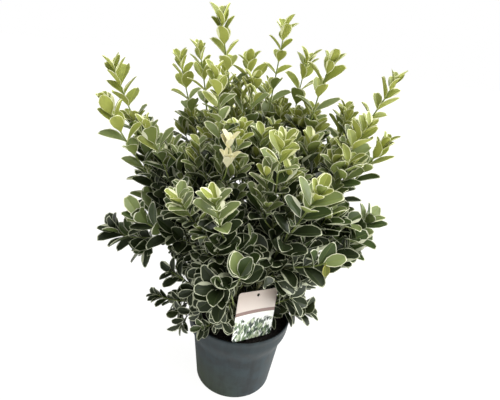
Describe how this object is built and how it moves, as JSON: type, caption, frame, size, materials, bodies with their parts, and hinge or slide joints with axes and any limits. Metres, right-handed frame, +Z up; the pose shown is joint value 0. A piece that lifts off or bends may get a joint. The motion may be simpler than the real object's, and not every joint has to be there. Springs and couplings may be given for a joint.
{
  "type": "potted variegated euonymus shrub",
  "caption": "Bushy evergreen shrub with small cream-edged green leaves on upright shoots, standing in a round tapered plastic nursery pot with a blank picture card at its rim.",
  "frame": {"origin": "centre of the pot's flat underside, on the surface that it stands on", "axes": "+Z up along the pot's axis, -Y towards the viewer of the picture, +X to the viewer's right"},
  "size_m": [0.4905, 0.4371, 0.6683],
  "materials": {
    "pot_plastic": "moulded grey-green polypropylene, lightly scuffed, satin",
    "compost": "moist dark peat and bark compost, coarse",
    "trunk_bark": "grey-brown young bark, finely ridged",
    "bough_bark": "olive green to grey-brown young bark",
    "leaf_old": "waxy dark green leaves with thin cream margins",
    "leaf_young": "waxy mid to yellow-green leaves with thin cream margins",
    "card_plastic": "printed plastic card, satin"
  },
  "bodies": {
    "root": {"bough_back": "bough_bark", "bough_back_left": "bough_bark", "bough_back_right": "bough_bark", "bough_centre": "bough_bark", "bough_left": "bough_bark", "bough_left_back": "bough_bark", "bough_near": "bough_bark", "bough_near_left": "bough_bark", "bough_near_right": "bough_bark", "bough_right": "bough_bark", "bough_right_back": "bough_bark", "card": "card_plastic", "compost": "compost", "foliage_back_1": "leaf_young", "foliage_back_2": "leaf_young", "foliage_back_3": "leaf_young", "foliage_back_left_1": "leaf_young", "foliage_back_left_2": "leaf_young", "foliage_back_right_1": "leaf_young", "foliage_back_right_2": "leaf_young", "foliage_back_right_3": "leaf_young", "foliage_centre_1": "leaf_young", "foliage_centre_2": "leaf_young", "foliage_left_1": "leaf_young", "foliage_left_2": "leaf_young", "foliage_left_3": "leaf_young", "foliage_left_4": "leaf_young", "foliage_left_back_1": "leaf_young", "foliage_left_back_2": "leaf_young", "foliage_left_back_3": "leaf_young", "foliage_low_1": "leaf_old", "foliage_low_2": "leaf_old", "foliage_low_3": "leaf_old", "foliage_low_4": "leaf_old", "foliage_low_5": "leaf_old", "foliage_low_6": "leaf_old", "foliage_low_7": "leaf_old", "foliage_low_8": "leaf_old", "foliage_low_9": "leaf_old", "foliage_near_1": "leaf_young", "foliage_near_2": "leaf_young", "foliage_near_left_1": "leaf_young", "foliage_near_left_2": "leaf_young", "foliage_near_left_3": "leaf_young", "foliage_near_right_1": "leaf_young", "foliage_near_right_2": "leaf_young", "foliage_near_right_3": "leaf_young", "foliage_right_1": "leaf_young", "foliage_right_2": "leaf_young", "foliage_right_3": "leaf_young", "foliage_right_back_1": "leaf_young", "foliage_right_back_2": "leaf_young", "pot": "pot_plastic", "trunk": "trunk_bark"}
  },
  "joints": []
}
